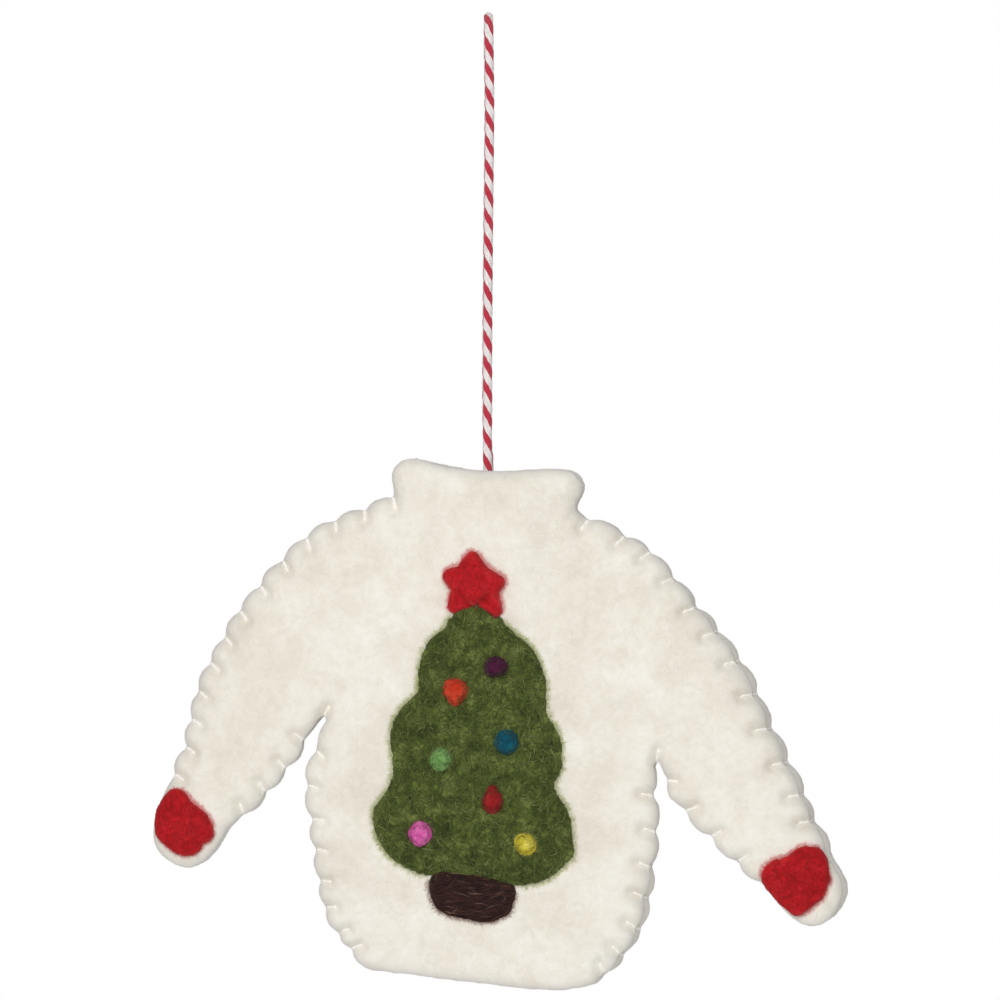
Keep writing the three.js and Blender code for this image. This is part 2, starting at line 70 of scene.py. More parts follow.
# The camera is level with the ornament's middle, behind a long lens. It stands a little to
# the right, so that the rim of the back panel shows past the front one.
photo_width = 0.184
photo_centre = Vector((0.00215, 0, -0.08804))
camera_azimuth = math.radians(6)
camera_distance = 1.3
sensor_width = 36

camera_data = bpy.data.cameras.new("camera")
camera_data.sensor_width = sensor_width
camera_data.lens = sensor_width * camera_distance / photo_width
camera = bpy.data.objects.new("camera", camera_data)
scene.collection.objects.link(camera)
camera.location = photo_centre + Matrix.Rotation(camera_azimuth, 3, "Z") @ Vector(
    (0, -camera_distance, 0)
)
camera.rotation_euler = (math.pi / 2, 0, camera_azimuth)
scene.camera = camera


# Soft studio light: one wide soft box in front and a little above, a smaller one close to the
# neck, one behind, weaker ones at the sides and above, and an even white room. The camera
# sees the room as plain white.
room_light = 0.255
soft_boxes = {
    "front": ((-0.2, -1.5, 0.35), 1.3, 0.33),
    "near": ((0, -0.35, 0.06), 0.3, 0.385),
    "left": ((-1.3, -0.7, 0.3), 0.8, 0.05),
    "right": ((1.3, -0.9, 0.2), 0.8, 0.04),
    "top": ((0, 0.3, 1.2), 0.8, 0.02),
    "back": ((0.3, 1.5, 0.35), 1.3, 0.6),
}
for box_name, (place, size, brightness) in soft_boxes.items():
    lamp = bpy.data.lights.new(box_name + "_box", "AREA")
    lamp.size = size
    away = Vector(place) - photo_centre
    lamp.energy = brightness * math.pi**2 * away.length_squared
    lamp_object = bpy.data.objects.new(box_name + "_box", lamp)
    lamp_object.location = place
    lamp_object.rotation_euler = away.to_track_quat("Z", "Y").to_euler()
    scene.collection.objects.link(lamp_object)

room = bpy.data.worlds.new("room")
scene.world = room
room.use_nodes = True
air = room.node_tree
sky = air.nodes["Background"]
rays = air.nodes.new("ShaderNodeLightPath")
seen = air.nodes.new("ShaderNodeMath")
seen.operation = "MAXIMUM"
seen_or_passed = air.nodes.new("ShaderNodeMath")
seen_or_passed.operation = "MAXIMUM"
level = air.nodes.new("ShaderNodeMapRange")
level.inputs["To Min"].default_value = room_light
level.inputs["To Max"].default_value = 1
air.links.new(rays.outputs["Is Camera Ray"], seen.inputs[0])
air.links.new(rays.outputs["Is Glossy Ray"], seen.inputs[1])
air.links.new(seen.outputs[0], seen_or_passed.inputs[0])
air.links.new(rays.outputs["Is Transmission Ray"], seen_or_passed.inputs[1])
air.links.new(seen_or_passed.outputs[0], level.inputs["Value"])
air.links.new(level.outputs["Result"], sky.inputs["Strength"])
sky.inputs["Color"].default_value = (1, 1, 1, 1)


# The floor is pale and plain, some way below the hanging ornament, and fades into the white
# room towards its edge.
floor_drop = 0.07
floor_half = 0.65
floor_fade = 0.25
floor_colour = (0.93, 0.93, 0.92, 1)
floor_roughness = 0.9
floor_glow = 0.1
floor_height = cad_box[0].z - floor_drop
bpy.ops.mesh.primitive_plane_add(size=2 * floor_half, location=(0, 0, floor_height))
floor = bpy.context.object
floor.name = "floor"

floor_paint = bpy.data.materials.new("pale_floor")
floor_paint.use_nodes = True
paint = floor_paint.node_tree
matt = paint.nodes["Principled BSDF"]
matt.inputs["Base Color"].default_value = floor_colour
matt.inputs["Roughness"].default_value = floor_roughness
matt.inputs["Specular IOR Level"].default_value = 0
matt.inputs["Emission Color"].default_value = (1, 1, 1, 1)
matt.inputs["Emission Strength"].default_value = floor_glow
spot = paint.nodes.new("ShaderNodeTexCoord")
distance = paint.nodes.new("ShaderNodeVectorMath")
distance.operation = "LENGTH"
fade = paint.nodes.new("ShaderNodeMapRange")
fade.interpolation_type = "SMOOTHSTEP"
fade.inputs["From Min"].default_value = floor_half - floor_fade
fade.inputs["From Max"].default_value = floor_half
clear = paint.nodes.new("ShaderNodeBsdfTransparent")
either = paint.nodes.new("ShaderNodeMixShader")
paint.links.new(spot.outputs["Object"], distance.inputs[0])
paint.links.new(distance.outputs["Value"], fade.inputs["Value"])
paint.links.new(fade.outputs["Result"], either.inputs["Fac"])
paint.links.new(matt.outputs[0], either.inputs[1])
paint.links.new(clear.outputs[0], either.inputs[2])
paint.links.new(either.outputs[0], paint.nodes["Material Output"].inputs["Surface"])
floor.data.materials.append(floor_paint)


# Hanging twine: baker's twine of two red and two white cotton plies, in one length. It goes
# up from its knot between the panels, out at the collar, over the hook and down again.
twine_diameter = 0.00175
twine_plies = 4
twine_groove = 0.17
twine_lay = 0.009
twine_step = 0.00035
twine_sides = 28
twine_red = (202, 40, 66)
twine_white = (255, 246, 246)
first_ply = (0.79, 0.52, 0.1)
ply_fullness = 0.7
points_per_step = 4
cotton_roughness = 0.85
cotton_sheen = 0.25
cotton_relief = 0.8
painted_hollow_shade = (0.8, 0.77, 0.76, 1)
stray_scale = 9
stray_detail = 4
stray_reach = 0.1
cloth_specular = 0.2
cloth_sheen_roughness = 0.6
front_strand_y = -0.001275
rear_strand_y = 0.000775
knot_centre = Vector((0, -0.00025, -0.0922))
tail_end_z = -0.0878
loop_route = [
    (0, front_strand_y, tail_end_z), (0, front_strand_y, -0.08105),
    (-0.00005, front_strand_y, -0.078), (0.00002, -0.0014, -0.072), (0.00006, -0.00175, -0.06),
    (0.00021, -0.00225, -0.045), (0.00041, -0.0028, -0.03), (0.0006, -0.00335, -0.015),
    (0.00053, -0.00365, -0.0065), (0.00049, -0.00369, -0.00288), (0.00041, -0.0032, -0.001),
    (0.00023, -0.00185, 0.00037), (0, 0, 0.000875), (-0.00019, 0.00185, 0.00037),
    (-0.00035, 0.0032, -0.001), (-0.00042, 0.00369, -0.00288), (-0.00036, 0.00365, -0.0065),
    (-0.00023, 0.00335, -0.015), (-0.0003, 0.00275, -0.03), (-0.00039, 0.00215, -0.045),
    (-0.00041, 0.0015, -0.06), (-0.00036, 0.00095, -0.072), (-0.0002, rear_strand_y, -0.078),
    (0, rear_strand_y, -0.08105), (0, rear_strand_y, tail_end_z),
]


def smooth_line(points, step):
    """Points a step apart on the smooth curve through the given ones."""
    given = np.array(points, float)
    given = np.vstack([2 * given[0] - given[1], given, 2 * given[-1] - given[-2]])
    gaps = np.linalg.norm(np.diff(given, axis=0), axis=1)
    knots = np.concatenate([[0], np.cumsum(np.sqrt(gaps))])[:, None]
    dense = []
    for i in range(1, len(given) - 2):
        count = max(points_per_step, int(points_per_step * gaps[i] / step))
        t = np.linspace(knots[i], knots[i + 1], count, endpoint=False)

        def between(a, b, first, last):
            share = (t - knots[first]) / (knots[last] - knots[first])
            return a + (b - a) * share

        legs = [between(given[k], given[k + 1], k, k + 1) for k in (i - 1, i, i + 1)]
        early = between(legs[0], legs[1], i - 1, i + 1)
        late = between(legs[1], legs[2], i, i + 2)
        dense.append(between(early, late, i, i + 1))
    dense = np.vstack([*dense, given[-2:-1]])
    along = np.concatenate([[0], np.cumsum(np.linalg.norm(np.diff(dense, axis=0), axis=1))])
    even = np.linspace(0, along[-1], int(along[-1] / step) + 2)
    return np.stack([np.interp(even, along, dense[:, axis]) for axis in range(3)], axis=1)


def spun_cord(name, line, radius, plies, groove, lay, sides):
    """A twisted cord along a line. Each ply is a ridge that winds round once in every lay, and
    first_ply turns the first one at the line's start. The cord's UV map runs round the plies
    across, and along the cord upwards, one unit a lay."""
    line = np.array(line)
    tangents = np.gradient(line, axis=0)
    tangents /= np.linalg.norm(tangents, axis=1)[:, None]
    side = np.cross(tangents[0], first_ply)
    along = np.concatenate([[0], np.cumsum(np.linalg.norm(np.diff(line, axis=0), axis=1))])
    angles = np.arange(sides) / sides * 2 * math.pi
    ridges = np.abs(np.cos(plies * angles / 2)) ** ply_fullness
    reach = radius * (1 - groove * (1 - ridges))
    rings = []
    for point, tangent, distance_along in zip(line, tangents, along):
        side = side - tangent * side.dot(tangent)
        side /= np.linalg.norm(side)
        turned = angles - distance_along / lay * 2 * math.pi
        across = np.outer(np.cos(turned), side) + np.outer(np.sin(turned), np.cross(tangent, side))
        rings.append(point + reach[:, None] * across)
    corners = np.vstack(rings)
    faces, uvs = [], []
    for ring in range(len(line) - 1):
        low, high = along[ring] / lay, along[ring + 1] / lay
        for k in range(sides):
            following = (k + 1) % sides
            first = ring * sides
            faces.append(
                (first + k, first + following, first + sides + following, first + sides + k)
            )
            left, right = k / sides, (k + 1) / sides
            uvs += [(left, low), (right, low), (right, high), (left, high)]
    last = (len(line) - 1) * sides
    faces += [tuple(reversed(range(sides))), tuple(range(last, last + sides))]
    uvs += [(0.5, 0)] * (2 * sides)
    mesh = bpy.data.meshes.new(name)
    mesh.from_pydata(corners.tolist(), [], faces)
    uv_map = mesh.uv_layers.new(name="lay")
    uv_map.data.foreach_set("uv", np.array(uvs, np.float32).ravel())
    mesh.shade_smooth()
    cord = bpy.data.objects.new(name, mesh)
    scene.collection.objects.link(cord)
    return cord


def srgb(red, green, blue):
    """A colour as a picture writes it, from 0 to 255, as linear red, green and blue."""
    shares = [channel / 255 for channel in (red, green, blue)]
    linear = [s / 12.92 if s <= 0.04045 else ((s + 0.055) / 1.055) ** 2.4 for s in shares]
    return (*linear, 1)


def new_material(name, roughness, sheen):
    """A material with a principled shader, and its node tree and shader."""
    material = bpy.data.materials.new(name)
    material.use_nodes = True
    tree = material.node_tree
    shader = tree.nodes["Principled BSDF"]
    shader.inputs["Roughness"].default_value = roughness
    shader.inputs["Specular IOR Level"].default_value = cloth_specular
    shader.inputs["Sheen Weight"].default_value = sheen
    shader.inputs["Sheen Roughness"].default_value = cloth_sheen_roughness
    return material, tree, shader


def add_math(tree, operation, first, second):
    """A math node of two inputs, each a socket or a number, and its output."""
    node = tree.nodes.new("ShaderNodeMath")
    node.operation = operation
    for socket, value in zip(node.inputs, (first, second)):
        if isinstance(value, (int, float)):
            socket.default_value = value
        else:
            tree.links.new(value, socket)
    return node.outputs[0]


def spun_cotton(name, colours, yarns, yarn_slant, depth, shadow):
    """Twisted cotton: the colours share the plies, and fine yarns run along each ply, with painted
    shade in the hollows between them.
    """
    material, tree, shader = new_material(name, cotton_roughness, cotton_sheen)
    uv = tree.nodes.new("ShaderNodeUVMap")
    uv.uv_map = "lay"
    parts = tree.nodes.new("ShaderNodeSeparateXYZ")
    tree.links.new(uv.outputs["UV"], parts.inputs[0])
    stray = tree.nodes.new("ShaderNodeTexNoise")
    stray.inputs["Scale"].default_value = stray_scale
    stray.inputs["Detail"].default_value = stray_detail
    tree.links.new(uv.outputs["UV"], stray.inputs["Vector"])
    astray = add_math(tree, "SUBTRACT", stray.outputs["Fac"], 0.5)
    wander = add_math(tree, "MULTIPLY", astray, stray_reach)
    across = add_math(tree, "ADD", parts.outputs["X"], wander)
    ramp = tree.nodes.new("ShaderNodeValToRGB")
    ramp.color_ramp.interpolation = "CONSTANT"
    for index, colour in enumerate(colours):
        if index > 1:
            ramp.color_ramp.elements.new(index / len(colours))
        ramp.color_ramp.elements[index].position = index / len(colours)
        ramp.color_ramp.elements[index].color = srgb(*colour)
    if len(colours) == 1:
        ramp.color_ramp.elements.remove(ramp.color_ramp.elements[1])
    tree.links.new(add_math(tree, "FRACT", across, 0), ramp.inputs["Fac"])
    slant = add_math(tree, "MULTIPLY", parts.outputs["Y"], yarn_slant)
    phase = add_math(tree, "MULTIPLY", add_math(tree, "ADD", across, slant), yarns * 2 * math.pi)
    ridge = add_math(tree, "MULTIPLY_ADD", add_math(tree, "SINE", phase, 0), 0.5)
    ridge.node.inputs[2].default_value = 0.5
    # Painted shade: the colour darkens in the hollows between the yarns.
    shade = tree.nodes.new("ShaderNodeMix")
    shade.data_type = "RGBA"
    shade.blend_type = "MULTIPLY"
    shade.inputs["B"].default_value = painted_hollow_shade
    hollow = add_math(tree, "SUBTRACT", 1, ridge)
    tree.links.new(add_math(tree, "MULTIPLY", hollow, shadow), shade.inputs["Factor"])
    tree.links.new(ramp.outputs["Color"], shade.inputs["A"])
    tree.links.new(shade.outputs["Result"], shader.inputs["Base Color"])
    bump = tree.nodes.new("ShaderNodeBump")
    bump.inputs["Distance"].default_value = depth
    bump.inputs["Strength"].default_value = cotton_relief
    tree.links.new(ridge, bump.inputs["Height"])
    tree.links.new(bump.outputs["Normal"], shader.inputs["Normal"])
    return material


striped_cotton = spun_cotton(
    "striped_cotton", 2 * [twine_red, twine_white], yarns=16, yarn_slant=1, depth=0.0001,
    shadow=0.25,
)
twine_line = smooth_line(loop_route, twine_step)
twine = spun_cord(
    "hanging_twine", twine_line, twine_diameter / 2, twine_plies, twine_groove, twine_lay,
    twine_sides,
)
twine.data.materials.append(striped_cotton)
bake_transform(twine)
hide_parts("hanging_loop", "front_cord_tail", "rear_cord_tail")


# Knot: the twine's two ends are tied in an overhand knot, too wide for the gap at the
# collar. It is a trefoil, and the twine goes into its top.
knot_radius = 0.00248
knot_points = 160
knot_lobes = 3
knot_rounds = 2
turns = np.linspace(0, 2 * knot_rounds * math.pi, knot_points)
weave = knot_lobes / knot_rounds * turns
swell = knot_radius * (2 + np.cos(weave)) / 2
knot_line = np.stack(
    [swell * np.sin(turns), knot_radius * np.sin(weave) / 2, swell * np.cos(turns)], axis=1
)
knot = spun_cord(
    "overhand_knot", knot_line + np.array(knot_centre), twine_diameter / 2, twine_plies,
    twine_groove, twine_lay, twine_sides,
)
knot.data.materials.append(striped_cotton)
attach(knot, "knot")
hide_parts("cord_knot")


# Front and back panels: two jerseys cut from thick cream wool felt, with a lumpy surface. The
# thread draws them in at every stitch, and between the stitches they swell.
felt_voxel = 0.00047
felt_smoothing = 10
smooth_share = 0.5
lump_octaves = 2
felt_push = 0.0002
felt_lump = 0.007
felt_lump_depth = 0.00024
felt_grain = 0.0016
felt_grain_depth = 0.00007
rim_middle = 0.00155
hole_plug_radius = 0.00105
hole_plug_depth = 0.0019
hole_plug_sides = 10
scallop_swell = 0.0006
scallop_bulge = 0.0003
scallop_reach = 0.006
scallop_start = 0.0014
stitch_pull = 0.001
stitch_groove = 0.001
edge_steepness = 0.35
edge_roll = 0.0008
edge_reach = 0.003
# Painted shade: the felt's rims are tinted grey where they round off and turn away from the light.
painted_edge_shade = (207, 205, 200)
painted_edge_shade_share = 0.8
pocket_half = 0.0055
pocket_top = -0.086
pocket_bottom = -0.1
stitch_slant = 0.0006
stitch_back = 0.0004
thread_stand = 0.0005
frame_thread_diameter = 0.0007
corners_per_stitch = 9
rim_corner = 3
end_corners = 4
merge_distance = 1e-7
seams = [
    "right_shoulder_thread", "right_underarm_thread", "left_underarm_thread",
    "left_shoulder_thread",
]
# The felt's shades: blotches at random, plus painted shade between its fibres and painted light on
# their tips.
felt_shades = [(227, 219, 206), (239, 233, 221), (247, 244, 236)]
felt_fibre = 0.0006
felt_blotch = 0.009
felt_depth = 0.0001
felt_sheen = 0.2
wool_roughness = 0.95
wool_relief = 0.7
blotch_part = 0.45
clump_part = 0.5
wool_contrast = (0.36, 0.64)


def merged_copy(node):
    """A bmesh of a frame node whose triangles share their corners."""
    solid = bmesh.new()
    solid.from_mesh(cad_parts[node].data)
    bmesh.ops.remove_doubles(solid, verts=solid.verts, dist=merge_distance)
    return solid


def middle_line(node, diameter):
    """The points down the middle of a thin tube, ring by ring from the end nearer the front."""
    solid = merged_copy(node)
    ends = sorted(solid.verts, key=lambda corner: len(corner.link_edges))[:end_corners]
    start = min(ends, key=lambda corner: abs(corner.co.y))
    ring = {corner for corner in solid.verts if (corner.co - start.co).length < diameter}
    line, passed = [], set()
    while ring:
        line.append(sum((corner.co for corner in ring), Vector()) / len(ring))
        passed |= ring
        ring = {e.other_vert(v) for v in ring for e in v.link_edges} - passed
    solid.free()
    return line


def stitches_of(seam):
    """Each stitch's hole in the frame, its place on the rim and where its thread comes out."""
    line = middle_line(seam, frame_thread_diameter)
    stitches = []
    for first in range(1, len(line) - 1, corners_per_stitch):
        rim = (line[first + rim_corner] + line[first + rim_corner + 1]) / 2
        hole = line[first]
        hole, rim = Vector((hole.x, hole.z)), Vector((rim.x, rim.z))
        into = (hole - rim).normalized()
        rim += into * thread_stand
        out = hole - into * stitch_back + Vector((into.y, -into.x)) * stitch_slant
        stitches.append((hole, rim, out))
    return stitches


stitches = {seam: stitches_of(seam) for seam in seams}
holes, rims, outs = (
    np.array([stitch[part] for seam in seams for stitch in stitches[seam]]) for part in range(3)
)


def apply_modifier(piece, kind, **settings):
    """Adds one modifier to a piece and applies it."""
    modifier = piece.modifiers.new(kind.lower(), kind)
    for setting, value in settings.items():
        setattr(modifier, setting, value)
    bpy.context.view_layer.objects.active = piece
    bpy.ops.object.modifier_apply(modifier=modifier.name)


def soft_piece(name, solid, voxel, smoothing, lumps):
    """A soft piece from a solid: one even mesh, smoothed, with lumps of given sizes."""
    mesh = bpy.data.meshes.new(name)
    solid.to_mesh(mesh)
    solid.free()
    piece = bpy.data.objects.new(name, mesh)
    scene.collection.objects.link(piece)
    apply_modifier(piece, "REMESH", mode="VOXEL", voxel_size=voxel)
    apply_modifier(piece, "SMOOTH", factor=smooth_share, iterations=smoothing)
    for index, (size, depth) in enumerate(lumps):
        clouds = bpy.data.textures.new(f"{name}_lumps_{index}", "CLOUDS")
        clouds.noise_scale = size
        clouds.noise_depth = lump_octaves
        apply_modifier(
            piece, "DISPLACE", texture=clouds, texture_coords="LOCAL", strength=2 * depth,
            mid_level=0.5,
        )
    piece.data.shade_smooth()
    return piece


def corners_of(piece):
    """A piece's corners and their normals, as two arrays."""
    count = len(piece.data.vertices)
    places, normals = np.empty(3 * count, np.float32), np.empty(3 * count, np.float32)
    piece.data.vertices.foreach_get("co", places)
    piece.data.vertices.foreach_get("normal", normals)
    return places.reshape(-1, 3).astype(float), normals.reshape(-1, 3).astype(float)


def distance_to_lines(points, starts, ends):
    """Each point's distance to the nearest of some straight lines, all in the plan."""
    nearest = np.full(len(points), np.inf)
    for start, end in zip(starts, ends):
        along = end - start
        share = np.clip((points - start) @ along / (along @ along), 0, 1)
        nearest = np.minimum(
            nearest, np.linalg.norm(points - start - share[:, None] * along, axis=1)
        )
    return nearest


def distance_to_edge(places, normals):
    """Each corner's distance in the plan to the nearest edge of its panel."""
    steep = np.abs(normals[:, 1]) < edge_steepness
    across, up = places[:, 0], places[:, 2]
    pocket = (np.abs(across) < pocket_half) & (pocket_bottom < up) & (up < pocket_top)
    edge = places[steep & ~pocket][:, [0, 2]]
    nearest = KDTree(len(edge))
    for index, (x, z) in enumerate(edge):
        nearest.insert((x, 0, z), index)
    nearest.balance()
    return np.array([nearest.find((x, 0, z))[2] for x, z in zip(across, up)])


def wool_felt():
    """Felt's matted fibres, for any colour of wool: a fibrous height, and a colour blotchy at
    random, with painted shade where the height sinks and painted light where it rises.
    """
    group = bpy.data.node_groups.new("matted_wool", "ShaderNodeTree")
    sockets = group.interface
    sockets.new_socket("Vector", in_out="INPUT", socket_type="NodeSocketVector")
    for shade in ("Dark", "Middle", "Light"):
        sockets.new_socket(shade, in_out="INPUT", socket_type="NodeSocketColor")
    sockets.new_socket("Fibre Size", in_out="INPUT", socket_type="NodeSocketFloat")
    sockets.new_socket("Blotch Size", in_out="INPUT", socket_type="NodeSocketFloat")
    sockets.new_socket("Color", in_out="OUTPUT", socket_type="NodeSocketColor")
    sockets.new_socket("Height", in_out="OUTPUT", socket_type="NodeSocketFloat")
    given = group.nodes.new("NodeGroupInput")
    result = group.nodes.new("NodeGroupOutput")

    def noise(size_socket, share, detail, distortion):
        node = group.nodes.new("ShaderNodeTexNoise")
        node.inputs["Detail"].default_value = detail
        node.inputs["Distortion"].default_value = distortion
        group.links.new(given.outputs["Vector"], node.inputs["Vector"])
        group.links.new(
            add_math(group, "DIVIDE", share, given.outputs[size_socket]), node.inputs["Scale"]
        )
        return node.outputs["Fac"]

    def mixture(first, second, part):
        return add_math(
            group, "ADD", add_math(group, "MULTIPLY", first, part),
            add_math(group, "MULTIPLY", second, 1 - part),
        )

    blotches = noise("Blotch Size", share=1, detail=3, distortion=0.3)
    clumps = noise("Fibre Size", share=0.3, detail=4, distortion=1.2)
    fibres = noise("Fibre Size", share=1, detail=5, distortion=3.5)
    height = mixture(clumps, fibres, clump_part)
    # The colour follows the fibres' height as well as the blotches: painted shade where they sink,
    # painted light where they rise.
    mixed = mixture(blotches, height, blotch_part)
    spread = group.nodes.new("ShaderNodeMapRange")
    spread.inputs["From Min"].default_value = wool_contrast[0]
    spread.inputs["From Max"].default_value = wool_contrast[1]
    group.links.new(mixed, spread.inputs["Value"])
    colour = given.outputs["Dark"]
    for shade, start in (("Middle", 0), ("Light", 1)):
        part = add_math(group, "SUBTRACT", add_math(group, "MULTIPLY", spread.outputs[0], 2), start)
        part.node.use_clamp = True
        mix = group.nodes.new("ShaderNodeMix")
        mix.data_type = "RGBA"
        group.links.new(part, mix.inputs["Factor"])
        group.links.new(colour, mix.inputs["A"])
        group.links.new(given.outputs[shade], mix.inputs["B"])
        colour = mix.outputs["Result"]
    group.links.new(colour, result.inputs["Color"])
    group.links.new(height, result.inputs["Height"])
    return group


matted_wool = wool_felt()


def wool_material(name, shades, fibre_size, blotch_size, depth, sheen):
    """Felted wool of three shades, blotchy at random, with painted shade between its fibres and
    painted light on their tips.
    """
    material, tree, shader = new_material(name, wool_roughness, sheen)
    spot = tree.nodes.new("ShaderNodeTexCoord")
    wool = tree.nodes.new("ShaderNodeGroup")
    wool.node_tree = matted_wool
    for socket, shade in zip(("Dark", "Middle", "Light"), shades):
        wool.inputs[socket].default_value = srgb(*shade)
    wool.inputs["Fibre Size"].default_value = fibre_size
    wool.inputs["Blotch Size"].default_value = blotch_size
    bump = tree.nodes.new("ShaderNodeBump")
    bump.inputs["Distance"].default_value = depth
    bump.inputs["Strength"].default_value = wool_relief
    tree.links.new(spot.outputs["Object"], wool.inputs["Vector"])
    tree.links.new(wool.outputs["Color"], shader.inputs["Base Color"])
    tree.links.new(wool.outputs["Height"], bump.inputs["Height"])
    tree.links.new(bump.outputs["Normal"], shader.inputs["Normal"])
    return material


def mark_edge(piece, values):
    """Keeps on each corner how near the piece's edge it is, from 0 to 1, for painted edge shading.
    """
    edge = piece.data.attributes.new("edge", "FLOAT", "POINT")
    edge.data.foreach_set("value", np.asarray(values, np.float32))


def paint_edge_shading(material, tint, share):
    """Paints shading into a material where its mesh's own edge attribute is near 1: painted shade
    on the felt's rims, painted light on the pads' walls.
    """
    tree = material.node_tree
    base = tree.nodes["Principled BSDF"].inputs["Base Color"]
    edge = tree.nodes.new("ShaderNodeAttribute")
    edge.attribute_name = "edge"
    mix = tree.nodes.new("ShaderNodeMix")
    mix.data_type = "RGBA"
    mix.inputs["B"].default_value = srgb(*tint)
    tree.links.new(add_math(tree, "MULTIPLY", edge.outputs["Fac"], share), mix.inputs["Factor"])
    tree.links.new(base.links[0].from_socket, mix.inputs["A"])
    tree.links.new(mix.outputs["Result"], base)


cream_felt = wool_material(
    "cream_felt", felt_shades, felt_fibre, felt_blotch, felt_depth, felt_sheen
)
# The felt's rims get a painted grey shade.
paint_edge_shading(cream_felt, painted_edge_shade, painted_edge_shade_share)
panels = []
for node, facing in (("front_panel", -1), ("back_panel", 1)):
    solid = merged_copy(node)
    flat_area = sum(face.calc_area() * abs(face.normal.y) for face in solid.faces) / 2
    for across, up in holes:
        turned = Matrix.Translation((across, facing * rim_middle, up)) @ Matrix.Rotation(
            math.pi / 2, 4, "X"
        )
        bmesh.ops.create_cone(
            solid, cap_ends=True, segments=hole_plug_sides, radius1=hole_plug_radius,
            radius2=hole_plug_radius, depth=hole_plug_depth, matrix=turned,
        )
    panel = soft_piece(
        node.replace("panel", "felt"), solid, felt_voxel, felt_smoothing,
        [(felt_lump, felt_lump_depth), (felt_grain, felt_grain_depth)],
    )
    places, normals = corners_of(panel)
    plan = places[:, [0, 2]]
    from_stitch = distance_to_lines(plan, outs, rims)
    near = np.linalg.norm(holes[1:] - holes[:-1], axis=1) < 2 * scallop_reach
    from_seam = distance_to_lines(plan, holes[:-1][near], holes[1:][near])
    band = np.clip(1 - from_seam / scallop_reach, 0, 1)
    apart = 1 - np.exp(-((from_stitch / scallop_start) ** 2))
    groove = np.exp(-((from_stitch / stitch_groove) ** 2))
    roll = np.clip(1 - distance_to_edge(places, normals) / edge_reach, 0, 1) ** 2
    swell = scallop_swell * np.sqrt(band) * apart
    outward = facing * np.clip(facing * normals[:, 1], 0, 1)
    places += normals * felt_push
    places[:, [0, 2]] += normals[:, [0, 2]] * (scallop_bulge * band * apart)[:, None]
    places[:, 1] += normals[:, 1] * swell - outward * (edge_roll * roll + stitch_pull * groove)
    panel.data.vertices.foreach_set("co", places.astype(np.float32).ravel())
    panel.data.update()
    # How near each corner is to the rim, for the painted shade on the rims.
    mark_edge(panel, roll**2)
    panel.data.materials.append(cream_felt)
    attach(panel, "jersey")
    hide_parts(node)
    panels.append(panel)


# Loose fibres of the panels: short cream hairs of wool that the felting left free. They lie
# close along both faces and stand a little proud of the rims.
fuzz_count = 2600
fuzz_length = 0.0026
fuzz_width = 0.00003
fuzz_lift = 0.00007
fuzz_curl = 0.25
fuzz_shades = [(238, 232, 219), (246, 241, 231), (251, 248, 241), (255, 253, 250)]
fuzz_sheen = 0.1
fuzz_tints = (0, 1)
fuzz_seeds = (11, 12)
fibre_steps = 4
fibre_sides = 3
fibre_spread = 2.3
fibre_lengths = (0.5, 1.4)
fibre_facing = -0.3
fibre_roughness = 0.8
fibre_tints = (0, 0.5, 0.9, 1)
dark_rise = 0.2
tip_width = 0.3
tip_start = 0.06


def surface_of(*pieces):
    """One surface to lay fibres on, from all the faces of some pieces."""
    corners, faces = [], []
    for piece in pieces:
        start = len(corners)
        corners += [corner.co for corner in piece.data.vertices]
        faces += [tuple(start + i for i in face.vertices) for face in piece.data.polygons]
    return BVHTree.FromPolygons(corners, faces)


